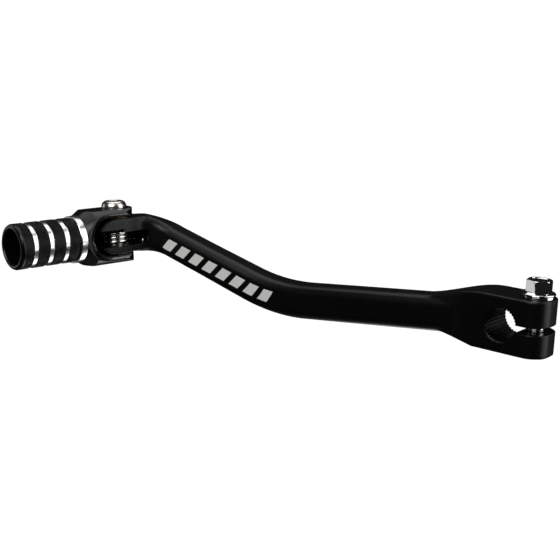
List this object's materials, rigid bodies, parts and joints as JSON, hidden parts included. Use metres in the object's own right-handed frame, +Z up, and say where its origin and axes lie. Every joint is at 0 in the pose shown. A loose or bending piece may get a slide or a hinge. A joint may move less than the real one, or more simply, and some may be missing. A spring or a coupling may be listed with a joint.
{
  "type": "motorcycle gear shift lever",
  "caption": "Forged motorcycle shift lever with a splined pinch clamp, a dog-leg arm and a knurled toe peg that folds back on a spring-loaded fork hinge.",
  "frame": {"origin": "centre of the splined shaft bore, halfway through the clamp", "axes": "+Y along the shaft into the engine, -X forward along the arm to the toe peg, +Z up"},
  "size_m": [0.2019, 0.0891, 0.0439],
  "materials": {
    "satin_black": "satin black anodised forging",
    "black_anodised": "black anodised, machined",
    "black_knurled": "black anodised, diamond knurled, with three bright turned rings",
    "bright_plate": "bright plated steel",
    "stainless": "polished stainless steel",
    "bronze": "sintered bronze",
    "spring_wire": "bright spring wire"
  },
  "bodies": {
    "lever": {"shift_arm": "satin_black", "clamp_bolt": "bright_plate", "clamp_spring_washer": "bright_plate", "pivot_bush_upper": "bronze", "pivot_bush_lower": "bronze", "torsion_spring": "spring_wire"},
    "toe_peg": {"toe_fork": "black_anodised", "toe_barrel": "black_knurled", "toe_barrel_screw": "stainless", "pivot_bolt": "stainless", "pivot_washer": "stainless", "pivot_sleeve": "stainless"}
  },
  "joints": [
    {"name": "toe_fold", "type": "hinge", "parent": "lever", "child": "toe_peg", "pos_m": [-0.1699, -0.0322, 0.0188], "axis": [0, 0, 1], "range_deg": [0, 90], "stiffness_Nm_per_rad": 0.12, "springref_deg": -34.38, "deforming": ["torsion_spring"]}
  ]
}
